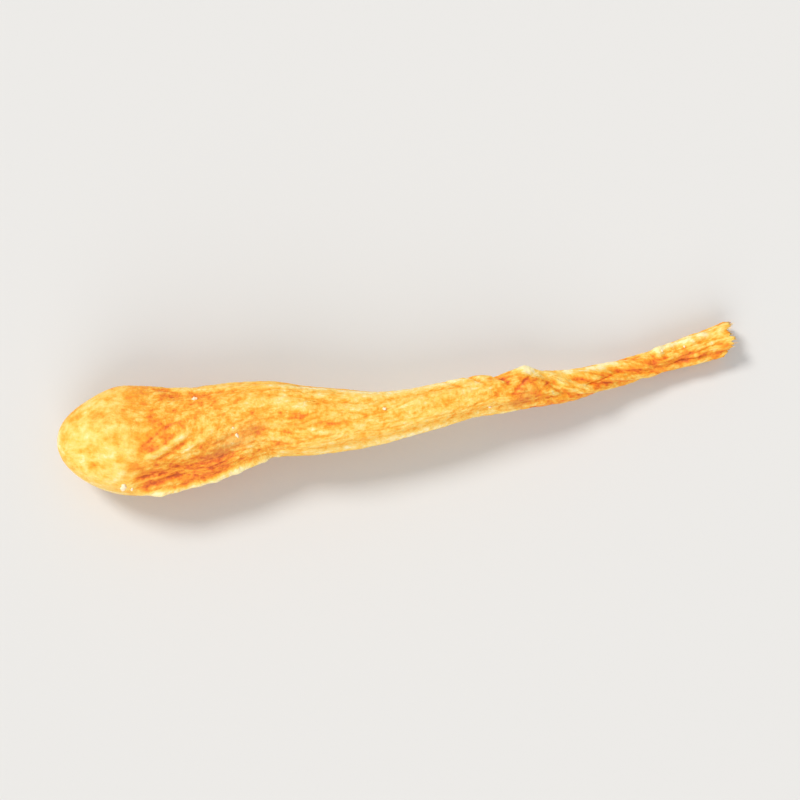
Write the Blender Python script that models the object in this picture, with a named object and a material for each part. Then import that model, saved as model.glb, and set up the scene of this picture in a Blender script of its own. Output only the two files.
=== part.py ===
"""One dried cordyceps fruiting body, lying on its side.

It grew as one piece and shrank as it dried: a rounded club head with wrinkled flanks, a neck, a
furrowed stem with a kink in it, a thin wrung tail and a flared, torn butt. It lies along X, the head's
tip at -X and the butt at +X, on the underside of its head and on its butt. The origin is at the middle
of its box, at the bottom, and +Z is up.

Run it with: blender --background --python part.py
"""

import math
from typing import NamedTuple

import bmesh
import bpy
from mathutils import Vector, noise

# Shapes are worked out in millimetres, and each vertex is turned to metres as it is made.
MM = 0.001

# Size of the whole piece
LENGTH = 41.0
HEAD_WIDTH = 6.5
HEAD_THICKNESS = 5.2
DOME_LENGTH = 5.0
DOME_POWER = 1.88

# How finely the surface is drawn
RING_POINTS = 40
DOME_RINGS = 12
RING_SPACING = 0.42


class Station(NamedTuple):
    """A cross-section: its place along the piece, its centre, and how far it reaches each way."""

    along: float
    sideways: float
    height: float
    half_width: float
    half_height: float


class Fold(NamedTuple):
    """A ridge (height over 0) or a furrow (under 0) that runs along the piece.

    Angles are in degrees round the section: 0 is +Y, 90 the top, 180 is -Y and 270 the underside.
    """

    start: float
    end: float
    angle_at_start: float
    angle_at_end: float
    height: float
    half_width: float


class Lump(NamedTuple):
    """A rounded swelling (height over 0) or a dent (under 0) at one place."""

    along: float
    angle: float
    height: float
    half_length: float
    half_width: float


STATIONS = (
    # The tip of the dome, the widest part of the head, and the taper behind it
    Station(0.0, -0.42, 2.24, HEAD_WIDTH / 2, HEAD_THICKNESS / 2),
    Station(DOME_LENGTH, -1.30, 2.38, HEAD_WIDTH / 2, HEAD_THICKNESS / 2),
    Station(8.5, -1.46, 2.44, 2.80, 2.38),
    # The neck, then the stem, which arches clear of the surface
    Station(12.5, -1.22, 2.66, 2.34, 1.98),
    Station(15.6, -1.74, 2.80, 2.08, 1.72),
    Station(19.7, -2.18, 2.84, 1.57, 1.36),
    Station(25.4, -1.76, 2.60, 1.26, 1.14),
    # The kink, and the wrung tail down to its narrowest
    Station(27.6, -1.80, 2.40, 1.16, 1.08),
    Station(29.6, -1.84, 2.10, 1.04, 0.96),
    Station(31.6, -1.78, 1.76, 0.94, 0.86),
    Station(33.8, -1.50, 1.38, 0.80, 0.75),
    # The butt flares again and rests on the surface
    Station(36.0, -1.16, 1.05, 0.82, 0.74),
    Station(38.0, -0.82, 0.86, 0.98, 0.80),
    Station(LENGTH, -0.36, 0.80, 1.18, 0.90),
)

HEAD_FOLDS = (
    # The hollow along the lower flank, and the thin rim under it
    Fold(3.9, 11.6, 139, 130, -0.34, 0.82),
    Fold(4.2, 12.9, 166, 170, 0.24, 0.42),
    # The crease that parts the smooth dome from the wrinkled flank
    Fold(3.2, 5.8, 172, 96, -0.08, 0.50),
    # The furrow along the upper flank, and the ridge over it
    Fold(6.4, 13.4, 38, 46, -0.07, 0.44),
    Fold(4.4, 12.0, 14, 20, 0.06, 0.60),
    # The broad furrows of the top, the sides and the underside
    Fold(9.5, 22.0, 88, 80, -0.06, 0.42),
    Fold(8.0, 18.0, 112, 104, -0.06, 0.40),
    Fold(4.8, 16.5, 212, 206, -0.26, 0.55),
    Fold(4.4, 17.0, 238, 230, -0.34, 0.62),
    Fold(8.5, 21.0, 266, 260, -0.24, 0.55),
    Fold(4.2, 17.5, 300, 292, -0.36, 0.70),
    Fold(6.0, 16.0, 334, 330, -0.26, 0.55),
)

SURFACE_LUMPS = (
    # The dome, a little flatter low on one side and fuller at its upper shoulder
    Lump(2.6, 240, -0.16, 1.60, 1.40),
    Lump(3.2, 16, 0.20, 1.40, 1.30),
    # The dip before the kink, the hump at it, and the swelling across from it
    Lump(26.5, 6, -0.20, 0.55, 0.70),
    Lump(28.3, 16, 0.36, 0.80, 0.90),
    Lump(26.6, 196, 0.12, 1.10, 0.70),
    # The butt's bumps and pits
    Lump(36.9, 60, 0.14, 0.70, 0.60),
    Lump(38.7, 84, 0.18, 0.60, 0.60),
    Lump(38.0, 128, -0.16, 0.50, 0.50),
    Lump(39.8, 40, -0.14, 0.50, 0.50),
)

KINK_CREASE = Fold(28.4, 31.4, 14, 172, -0.18, 0.46)

# Furrows stand evenly round the stem, the wrung tail and the butt, each a little out of step.
STEM_FURROWS = 8
STEM_FURROW_SHAPE = Fold(13.0, 30.5, 22, -4, -0.10, 0.26)
STEM_FURROW_STAGGER = 1.9
TAIL_FURROWS = 5
TAIL_FURROW_SHAPE = Fold(29.5, 36.8, 40, 230, -0.17, 0.24)
TAIL_FURROW_STAGGER = 0.3
BUTT_FURROWS = 6
BUTT_FURROW_SHAPE = Fold(35.4, LENGTH + 3.2, 8, 22, -0.22, 0.30)
BUTT_FURROW_STAGGER = 0.4
STEP_BETWEEN_STAGGERS = 2.4

# How the skin shrank
SQUARENESS = 2.2
FOLD_FADE = 1.6
BROAD_LUMP_HEIGHT = 0.16
BROAD_LUMP_LENGTH = 4.5
BROAD_LUMPS_ROUND = 0.9
BROAD_LUMP_SEED = Vector((3.1, 7.4, 1.9))
FULL_LUMPS_HALF_WIDTH = 2.0

# The torn butt: torn off at a slant, with a ragged rim, a lip, and a hollow
TEAR_SLANT = 0.42
TEAR_SLANT_ANGLE = 20
TEAR_SLANT_LENGTH = 3.0
TEAR_RAGGEDNESS = 0.45
TEARS_ROUND = 1.6
TEAR_SEED = Vector((0.0, 0.0, 5.0))
LIP_SHARE = 0.88
HOLLOW_SHARE = 0.62
HOLLOW_DEPTH = 0.55

# The directions across a section are read from the bent line this far to each side.
BEND_READING = 0.3
LEAST_ARC = 0.01

# Old gold, as the dried skin looks from a step away
SKIN_COLOUR = (0.93, 0.47, 0.07, 1.0)
SKIN_ROUGHNESS = 0.62


def clear_scene():
    """Removes every object that is in the scene."""
    for old in list(bpy.data.objects):
        bpy.data.objects.remove(old, do_unlink=True)


def ease(share):
    """A smooth step from 0 to 1 as share goes from 0 to 1."""
    share = min(max(share, 0.0), 1.0)
    return share * share * (3 - 2 * share)


def furrows_round(count, shape, stagger):
    """Copies of one furrow, evenly spaced round the section and pushed a little along it."""
    furrows = []
    for index in range(count):
        turn = index * 360 / count
        push = stagger * math.sin(STEP_BETWEEN_STAGGERS * index)
        furrows.append(
            shape._replace(
                start=shape.start + push,
                end=shape.end + push,
                angle_at_start=shape.angle_at_start + turn,
                angle_at_end=shape.angle_at_end + turn,
            )
        )
    return furrows


FOLDS = (
    *HEAD_FOLDS,
    KINK_CREASE,
    *furrows_round(STEM_FURROWS, STEM_FURROW_SHAPE, STEM_FURROW_STAGGER),
    *furrows_round(TAIL_FURROWS, TAIL_FURROW_SHAPE, TAIL_FURROW_STAGGER),
    *furrows_round(BUTT_FURROWS, BUTT_FURROW_SHAPE, BUTT_FURROW_STAGGER),
)


def station_slope(index):
    """How fast each value changes at a station, per millimetre along."""
    before = STATIONS[max(index - 1, 0)]
    after = STATIONS[min(index + 1, len(STATIONS) - 1)]
    run = after.along - before.along
    return [(later - earlier) / run for earlier, later in zip(before, after)]


def station_at(along):
    """The section at any place along the piece, on a smooth curve through the stations."""
    index = 0
    while index < len(STATIONS) - 2 and STATIONS[index + 1].along < along:
        index += 1
    first, second = STATIONS[index], STATIONS[index + 1]
    run = second.along - first.along
    share = (along - first.along) / run
    # The Hermite weights of the two values and of the two slopes
    start_value = (1 + 2 * share) * (1 - share) ** 2
    start_slope = share * (1 - share) ** 2 * run
    end_value = share**2 * (3 - 2 * share)
    end_slope = share**2 * (share - 1) * run
    slopes = zip(station_slope(index), station_slope(index + 1))
    return Station(
        *(
            start_value * start + start_slope * leaving + end_value * end + end_slope * arriving
            for start, end, (leaving, arriving) in zip(first, second, slopes)
        )
    )


def dome_share(along):
    """The share of its full size that the head has reached, from 0 at the tip to 1 past the dome."""
    if along >= DOME_LENGTH:
        return 1.0
    return math.sqrt(1 - (1 - along / DOME_LENGTH) ** DOME_POWER)


def centre_at(along):
    """The middle of the section, on the bent line that the piece follows."""
    section = station_at(along)
    return Vector((section.along, section.sideways, section.height))


def axes_at(along):
    """The sideways and upward directions of the section, square to the bent line."""
    ahead = centre_at(min(along + BEND_READING, LENGTH))
    behind = centre_at(max(along - BEND_READING, 0.0))
    forward = (ahead - behind).normalized()
    sideways = Vector((0, 0, 1)).cross(forward).normalized()
    return sideways, forward.cross(sideways)


def turn_between(angle, other):
    """The shortest turn from one angle to another, in radians."""
    return (angle - other + math.pi) % (2 * math.pi) - math.pi


def fold_height(fold, along, angle, arc):
    """How far a fold raises the skin at one place. arc is the length there of one radian."""
    if not fold.start < along < fold.end:
        return 0.0
    share = (along - fold.start) / (fold.end - fold.start)
    line = math.radians(fold.angle_at_start + share * (fold.angle_at_end - fold.angle_at_start))
    away = turn_between(angle, line) * arc / fold.half_width
    fade = ease((along - fold.start) / FOLD_FADE) * ease((fold.end - along) / FOLD_FADE)
    return fold.height * fade * math.exp(-(away**2))


def lump_height(lump, along, angle, arc):
    """How far a lump raises the skin at one place. arc is the length there of one radian."""
    across = turn_between(angle, math.radians(lump.angle)) * arc / lump.half_width
    lengthwise = (along - lump.along) / lump.half_length
    return lump.height * math.exp(-(across**2) - lengthwise**2)


def broad_lump_height(along, angle, half_width):
    """The slow, uneven swelling of the whole piece, which is less where it is thin."""
    place = Vector(
        (along / BROAD_LUMP_LENGTH, BROAD_LUMPS_ROUND * math.cos(angle), BROAD_LUMPS_ROUND * math.sin(angle))
    )
    share = min(1.0, half_width / FULL_LUMPS_HALF_WIDTH)
    return BROAD_LUMP_HEIGHT * share * noise.noise(place + BROAD_LUMP_SEED)


def squared(value):
    """A cosine or sine pushed outwards, so that the section is a little fuller than an ellipse."""
    return math.copysign(abs(value) ** (2 / SQUARENESS), value)


def skin_point(along, angle):
    """A point of the outer surface at an angle round the section."""
    section = station_at(along)
    share = dome_share(along)
    half_width = section.half_width * share
    half_height = section.half_height * share
    arc = max(math.hypot(half_width * math.sin(angle), half_height * math.cos(angle)), LEAST_ARC)
    raised = broad_lump_height(along, angle, section.half_width)
    raised += sum(fold_height(fold, along, angle, arc) for fold in FOLDS)
    raised += sum(lump_height(lump, along, angle, arc) for lump in SURFACE_LUMPS)
    outward = Vector((math.cos(angle) * half_height, math.sin(angle) * half_width)).normalized()
    across = half_width * squared(math.cos(angle)) + outward.x * raised * share
    upward = half_height * squared(math.sin(angle)) + outward.y * raised * share
    sideways, up = axes_at(along)
    slant = Vector((slant_shift(along, angle), 0, 0))
    return centre_at(along) + sideways * across + up * upward + slant


def slant_shift(along, angle):
    """How far a point near the butt is pushed along, where the piece was torn off at a slant."""
    share = ease((along - LENGTH + TEAR_SLANT_LENGTH) / TEAR_SLANT_LENGTH)
    return TEAR_SLANT * share * math.cos(angle - math.radians(TEAR_SLANT_ANGLE))


def ring_places():
    """Where the rings stand along the piece: close together on the dome, then evenly spaced."""
    quarter = math.pi / 2
    places = [
        DOME_LENGTH * (1 - math.cos(quarter * index / DOME_RINGS)) for index in range(1, DOME_RINGS + 1)
    ]
    behind = LENGTH - DOME_LENGTH
    rings = round(behind / RING_SPACING)
    places += [DOME_LENGTH + behind * index / rings for index in range(1, rings + 1)]
    return places


def torn_rim(angles, rim):
    """The last ring, pulled in and out unevenly along the piece."""
    points = []
    for angle, point in zip(angles, rim):
        place = Vector((TEARS_ROUND * math.cos(angle), TEARS_ROUND * math.sin(angle), 0.0))
        points.append(point + Vector((TEAR_RAGGEDNESS * noise.noise(place + TEAR_SEED), 0, 0)))
    return points


def add_ring(mesh, points):
    """Adds one ring of vertices."""
    return [mesh.verts.new(point * MM) for point in points]


def join_rings(mesh, first, second):
    """Joins two rings with a band of four-sided faces."""
    for index in range(RING_POINTS):
        after = (index + 1) % RING_POINTS
        mesh.faces.new((first[index], first[after], second[after], second[index]))


def close_ring(mesh, ring, point):
    """Closes a ring with a fan of triangles to one point."""
    middle = mesh.verts.new(point * MM)
    for index in range(RING_POINTS):
        mesh.faces.new((ring[index], ring[(index + 1) % RING_POINTS], middle))


def cut_rest_flats(mesh):
    """Cuts the piece off level where the head's underside and the butt press on the surface."""
    everything = mesh.verts[:] + mesh.edges[:] + mesh.faces[:]
    cut = bmesh.ops.bisect_plane(
        mesh, geom=everything, plane_co=(0, 0, 0), plane_no=(0, 0, -1), clear_outer=True
    )
    edges = [part for part in cut["geom_cut"] if isinstance(part, bmesh.types.BMEdge)]
    bmesh.ops.contextual_create(mesh, geom=edges)


def centre_on_origin(mesh):
    """Moves the piece so that the origin is at the middle of its box, at the bottom."""
    corners = [vertex.co for vertex in mesh.verts]
    lowest = [min(values) for values in zip(*corners)]
    highest = [max(values) for values in zip(*corners)]
    shift = (-(lowest[0] + highest[0]) / 2, -(lowest[1] + highest[1]) / 2, -lowest[2])
    bmesh.ops.translate(mesh, verts=mesh.verts, vec=shift)


def build_body():
    """Builds the fruiting body's closed surface, ring by ring from the tip to the hollow of the butt."""
    mesh = bmesh.new()
    angles = [2 * math.pi * index / RING_POINTS for index in range(RING_POINTS)]
    outlines = [[skin_point(along, angle) for angle in angles] for along in ring_places()]
    rim = torn_rim(angles, outlines.pop())
    middle = sum(rim, Vector()) / len(rim)
    inside = Vector((-HOLLOW_DEPTH, 0, 0))
    lip = [middle.lerp(point, LIP_SHARE) for point in rim]
    hollow = [middle.lerp(point, HOLLOW_SHARE) + inside for point in rim]
    rings = [add_ring(mesh, outline) for outline in (*outlines, rim, lip, hollow)]
    for first, second in zip(rings, rings[1:]):
        join_rings(mesh, first, second)
    close_ring(mesh, rings[0], centre_at(0.0))
    close_ring(mesh, rings[-1], middle + inside)
    bmesh.ops.recalc_face_normals(mesh, faces=mesh.faces)
    cut_rest_flats(mesh)
    centre_on_origin(mesh)
    data = bpy.data.meshes.new("fruiting_body")
    mesh.to_mesh(data)
    mesh.free()
    return data


def dried_skin():
    """The material of the dried skin."""
    material = bpy.data.materials.new("dried_fungus_skin")
    material.use_nodes = True
    shader = material.node_tree.nodes["Principled BSDF"]
    shader.inputs["Base Color"].default_value = SKIN_COLOUR
    shader.inputs["Roughness"].default_value = SKIN_ROUGHNESS
    shader.inputs["Metallic"].default_value = 0.0
    return material


def main():
    """Builds the one piece and puts it in the scene."""
    clear_scene()
    data = build_body()
    data.shade_smooth()
    data.materials.append(dried_skin())
    body = bpy.data.objects.new("fruiting_body", data)
    bpy.context.scene.collection.objects.link(body)


main()
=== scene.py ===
"""Looks of one dried cordyceps fruiting body, lying on a pale floor in soft studio light.

The body is modelled straight, ring by ring from the head's tip to the butt, then wrinkled and bent along
the line that the solid follows. Shapes are worked out in millimetres and become metres in the meshes.
"""

import logging
import math
from collections.abc import Mapping, Sequence
from dataclasses import astuple, dataclass, field, replace
from enum import Enum

import bmesh
import bpy
import numpy as np
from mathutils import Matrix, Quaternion, Vector, noise


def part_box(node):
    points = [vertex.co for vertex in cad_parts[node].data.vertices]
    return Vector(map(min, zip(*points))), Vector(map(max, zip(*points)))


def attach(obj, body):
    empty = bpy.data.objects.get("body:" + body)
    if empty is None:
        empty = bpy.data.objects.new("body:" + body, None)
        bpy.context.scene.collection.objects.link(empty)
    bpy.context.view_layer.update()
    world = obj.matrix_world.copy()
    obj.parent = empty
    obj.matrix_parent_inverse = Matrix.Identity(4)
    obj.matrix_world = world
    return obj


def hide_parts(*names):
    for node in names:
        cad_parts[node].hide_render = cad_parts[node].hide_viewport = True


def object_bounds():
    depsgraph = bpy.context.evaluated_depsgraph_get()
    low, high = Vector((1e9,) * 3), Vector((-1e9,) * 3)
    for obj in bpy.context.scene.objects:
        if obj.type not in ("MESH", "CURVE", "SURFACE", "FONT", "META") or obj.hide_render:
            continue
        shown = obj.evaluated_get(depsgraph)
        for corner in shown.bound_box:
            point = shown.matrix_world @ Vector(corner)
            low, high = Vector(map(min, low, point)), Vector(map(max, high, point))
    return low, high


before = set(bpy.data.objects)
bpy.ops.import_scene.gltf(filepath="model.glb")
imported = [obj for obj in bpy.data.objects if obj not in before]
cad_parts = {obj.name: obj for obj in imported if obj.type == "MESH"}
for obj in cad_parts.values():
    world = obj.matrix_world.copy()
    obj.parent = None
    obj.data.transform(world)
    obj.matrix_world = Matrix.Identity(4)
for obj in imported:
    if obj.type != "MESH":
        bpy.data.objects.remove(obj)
cad_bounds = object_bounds()

MM = 0.001
NODE = "fruiting_body"
BODY = "root"

log = logging.getLogger("dried_cordyceps")


def linear(hex_code: str) -> tuple[float, float, float, float]:
    """Turns an sRGB hex colour into the linear colour that a socket takes.

    Args:
        hex_code: six hex digits, with or without a leading #.

    Returns:
        Red, green, blue and an alpha of 1.
    """
    digits = hex_code.lstrip("#")
    shares = [int(digits[start : start + 2], 16) / 255 for start in (0, 2, 4)]
    red, green, blue = ((c / 12.92) if c <= 0.04045 else ((c + 0.055) / 1.055) ** 2.4 for c in shares)
    return red, green, blue, 1.0


def ease(share: np.ndarray) -> np.ndarray:
    """A smooth step from 0 to 1 as share goes from 0 to 1."""
    share = np.clip(share, 0.0, 1.0)
    return share * share * (3 - 2 * share)


def turn_between(angle: np.ndarray, other: np.ndarray | float) -> np.ndarray:
    """The shortest turn from one angle to another, in radians."""
    return (angle - other + np.pi) % (2 * np.pi) - np.pi


# How steeply a wrinkle rises to its crest, and how round the crest is, in each kind of noise
SMOOTH_RISE, SMOOTH_ROUNDNESS = 3.0, 0.75
CELL_REACH, CELL_ROUNDNESS = 0.62, 0.65

# How fast a sharp fold falls away from its middle, and how sharp the middle is
SHARP_FALL, SHARPNESS = 1.3, 1.15

# Which way a seed pushes the places where a noise is read
SEED_PUSH = np.array((1.0, 2.7, -1.3))


class Pattern(Enum):
    """The kinds of noise that the skin's wrinkles and tones are drawn from."""

    SMOOTH = "PERLIN_ORIGINAL"
    CELLS = "VORONOI_F2F1"

    def at(self, *axes: np.ndarray, seed: float = 0.0) -> np.ndarray:
        """Reads the noise at many places.

        Args:
            axes: the three coordinates of every place, in units of the noise's own lumps.
            seed: pushes the places to another stretch of the noise.

        Returns:
            One value for each place, between -1 and 1.
        """
        places = np.stack(axes, axis=1) + seed * SEED_PUSH
        return np.array([noise.noise(place, noise_basis=self.value) for place in places.tolist()])

    def crests(self, *axes: np.ndarray, seed: float = 0.0) -> np.ndarray:
        """Reads the noise as wrinkles.

        Args:
            axes: the three coordinates of every place, in units of the wrinkles' spacing.
            seed: pushes the places to another stretch of the noise.

        Returns:
            For each place, 0 in a sharp valley and 1 on the rounded crest between two.
        """
        values = self.at(*axes, seed=seed)
        if self is Pattern.CELLS:
            return np.minimum((values + 1) / CELL_REACH, 1.0) ** CELL_ROUNDNESS
        return np.minimum(SMOOTH_RISE * np.abs(values), 1.0) ** SMOOTH_ROUNDNESS


def deselect_all() -> None:
    """Leaves nothing selected, so that an operator acts on what is made next."""
    if bpy.context.object and bpy.context.object.mode != "OBJECT":
        bpy.ops.object.mode_set(mode="OBJECT")
    bpy.ops.object.select_all(action="DESELECT")


class Profile(Enum):
    """How a fold looks across: a soft swell, or a valley or crest with a sharp middle."""

    SOFT = "soft"
    SHARP = "sharp"

    def across(self, away: np.ndarray) -> np.ndarray:
        """Works out the fold's height across it.

        Args:
            away: distances from the fold's line, in half widths.

        Returns:
            The share of the fold's height at each distance.
        """
        if self is Profile.SHARP:
            return np.exp(-SHARP_FALL * np.abs(away) ** SHARPNESS)
        return np.exp(-(away**2))


@dataclass(frozen=True)
class Station:
    """A cross-section: its place along the piece, its centre, and how far it reaches, in millimetres."""

    along: float
    sideways: float
    height: float
    half_width: float
    half_height: float


@dataclass(frozen=True)
class Fold:
    """A ridge (height over 0) or a furrow (under 0) that runs along the piece.

    Angles are in degrees round the section: 0 is +Y, 90 the top, 180 is -Y and 270 the underside.
    """

    start: float
    end: float
    angle_at_start: float
    angle_at_end: float
    height: float
    half_width: float
    profile: Profile = Profile.SOFT
    fade: float = 1.6


@dataclass(frozen=True)
class Lump:
    """A rounded swelling (height over 0) or a dent (under 0) at one place."""

    along: float
    angle: float
    height: float
    half_length: float
    half_width: float


@dataclass(frozen=True)
class Patch:
    """A stain, painted shade or painted highlight at one place: how strong it is, and how far it reaches
    along and round the piece.
    """

    along: float
    angle: float
    strength: float
    half_length: float
    half_width: float


@dataclass(frozen=True)
class Places:
    """Where many points of the skin are: along the piece, round it, and the section there."""

    along: np.ndarray
    angle: np.ndarray
    half_width: np.ndarray
    half_height: np.ndarray
    dome: np.ndarray
    arc: np.ndarray

    def reach(self, spot: Lump | Patch) -> np.ndarray:
        """Works out how strongly a spot shows.

        Args:
            spot: the lump, or the patch of stain, painted shade or painted highlight.

        Returns:
            The share of its strength that each place gets.
        """
        across = turn_between(self.angle, math.radians(spot.angle)) * self.arc / spot.half_width
        lengthwise = (self.along - spot.along) / spot.half_length
        return np.exp(-(across**2) - lengthwise**2)


@dataclass(frozen=True)
class Wander:
    """A slow noise over the piece: the length of its lumps in mm, how fast it changes round, and its seed."""

    length: float
    changes_round: float
    seed: float

    def at(self, places: Places) -> np.ndarray:
        """Reads the noise at each place, between -1 and 1."""
        across, upward = self.changes_round * np.cos(places.angle), self.changes_round * np.sin(places.angle)
        return Pattern.SMOOTH.at(places.along / self.length, across, upward, seed=self.seed)


@dataclass(frozen=True)
class Stretch:
    """A stretch of the piece with soft ends, in millimetres along it."""

    start: float
    end: float
    soft_start: float
    soft_end: float

    def share(self, along: np.ndarray) -> np.ndarray:
        """How far each place is inside the stretch, from 0 to 1."""
        return ease((along - self.start) / self.soft_start) * ease((self.end - along) / self.soft_end)


@dataclass(frozen=True)
class Side:
    """One side of the piece: its middle in degrees, half its width in radians, and how square its edge is."""

    angle: float
    half_turn: float
    squareness: int

    def share(self, places: Places) -> np.ndarray:
        """How far each place is on this side, from 0 to 1."""
        away = turn_between(places.angle, math.radians(self.angle)) / self.half_turn
        return np.exp(-(away**self.squareness))


@dataclass(frozen=True)
class BentLine:
    """The bent line through the middle of the piece, and the size of its sections, as in the solid."""

    stations: tuple[Station, ...]
    dome_length: float
    dome_power: float
    bend_reading: float = 0.3

    @property
    def length(self) -> float:
        """The length of the piece along its chord."""
        return self.stations[-1].along

    def sections(self, along: np.ndarray) -> np.ndarray:
        """Reads the sections on a smooth curve through the stations.

        Args:
            along: places along the piece.

        Returns:
            One row for each place, with a station's five values.
        """
        table = np.array([astuple(station) for station in self.stations])
        before = np.vstack((table[:1], table[:-1]))
        after = np.vstack((table[1:], table[-1:]))
        slopes = (after - before) / (after - before)[:, :1]
        index = np.clip(np.searchsorted(table[:, 0], along) - 1, 0, len(table) - 2)
        run = (table[index + 1, 0] - table[index, 0])[:, None]
        share = (along - table[index, 0])[:, None] / run
        start = (1 + 2 * share) * (1 - share) ** 2 * table[index]
        leaving = share * (1 - share) ** 2 * run * slopes[index]
        end = share**2 * (3 - 2 * share) * table[index + 1]
        arriving = share**2 * (share - 1) * run * slopes[index + 1]
        return start + leaving + end + arriving

    def dome(self, along: np.ndarray) -> np.ndarray:
        """The share of its full size that the head has reached: 0 at the tip, 1 past the dome."""
        ahead = np.clip(1 - along / self.dome_length, 0.0, 1.0)
        return np.sqrt(np.clip(1 - ahead**self.dome_power, 0.0, 1.0))

    def axes(self, along: np.ndarray) -> tuple[np.ndarray, np.ndarray]:
        """Works out which way a section faces.

        Args:
            along: places along the piece.

        Returns:
            The sideways and the upward direction at each place, both square to the bent line.
        """
        ahead = self.sections(np.minimum(along + self.bend_reading, self.length))[:, :3]
        behind = self.sections(np.maximum(along - self.bend_reading, 0.0))[:, :3]
        forward = ahead - behind
        forward /= np.linalg.norm(forward, axis=1, keepdims=True)
        sideways = np.cross((0.0, 0.0, 1.0), forward)
        sideways /= np.linalg.norm(sideways, axis=1, keepdims=True)
        return sideways, np.cross(forward, sideways)


LENGTH = 41.0
HEAD_WIDTH = 6.5
HEAD_THICKNESS = 5.2
DOME_LENGTH = 5.0

LINE = BentLine(
    stations=(
        Station(0.0, -0.42, 2.24, HEAD_WIDTH / 2, HEAD_THICKNESS / 2),
        Station(DOME_LENGTH, -1.30, 2.38, HEAD_WIDTH / 2, HEAD_THICKNESS / 2),
        Station(8.5, -1.46, 2.44, 2.80, 2.38),
        Station(12.5, -1.22, 2.66, 2.34, 1.98),
        Station(15.6, -1.74, 2.80, 2.08, 1.72),
        Station(19.7, -2.18, 2.84, 1.57, 1.36),
        Station(25.4, -1.76, 2.60, 1.26, 1.14),
        Station(27.6, -1.80, 2.40, 1.16, 1.08),
        Station(29.6, -1.84, 2.10, 1.04, 0.96),
        Station(31.6, -1.78, 1.76, 0.94, 0.86),
        Station(33.8, -1.50, 1.38, 0.80, 0.75),
        Station(36.0, -1.16, 1.05, 0.82, 0.74),
        Station(38.0, -0.82, 0.86, 0.98, 0.80),
        Station(LENGTH, -0.36, 0.80, 1.18, 0.90),
    ),
    dome_length=DOME_LENGTH,
    dome_power=1.88,
)


# Turns that go on without repeating soon, so that a row made by a loop looks grown
FURROW_TURN = 2.4
KNOB_TURN = 2.7
KNOB_HEIGHT_TURN = 1.9


def furrows_round(count: int, shape: Fold, stagger: float) -> tuple[Fold, ...]:
    """Copies one furrow round the section, evenly spaced.

    Args:
        count: how many furrows there are.
        shape: the first one.
        stagger: how far the others are pushed along the piece at most, in millimetres.

    Returns:
        The furrows.
    """
    furrows = []
    for index in range(count):
        turn = index * 360 / count
        push = stagger * math.sin(FURROW_TURN * index)
        furrows.append(
            replace(
                shape,
                start=shape.start + push,
                end=shape.end + push,
                angle_at_start=shape.angle_at_start + turn,
                angle_at_end=shape.angle_at_end + turn,
            )
        )
    return tuple(furrows)


def knobs_along(count: int, first: Lump, spacing: float, turn: float) -> tuple[Lump, ...]:
    """Copies a small swelling along the piece, uneven in place and height.

    Args:
        count: how many swellings there are.
        first: the first one.
        spacing: how far it is from one to the next, in millimetres.
        turn: how many degrees the row goes round the piece from one to the next.

    Returns:
        The swellings.
    """
    uneven_place, uneven_height = 0.15, 0.5
    return tuple(
        replace(
            first,
            along=first.along + spacing * (index + uneven_place * math.sin(KNOB_TURN * index)),
            angle=first.angle + turn * index,
            height=first.height * (1 + uneven_height * math.sin(KNOB_HEIGHT_TURN * index)),
        )
        for index in range(count)
    )


@dataclass(frozen=True)
class WrinkleLayer:
    """One size of wrinkle, from valley to valley across the grain, and how many times longer it is.

    A slanting layer shows only on the top of the head, where it takes the place of the others.
    """

    spacing: float
    stretch: float
    height: float
    share_on_dome: float
    pattern: Pattern
    seed: float
    slant: float = 0.0


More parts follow.
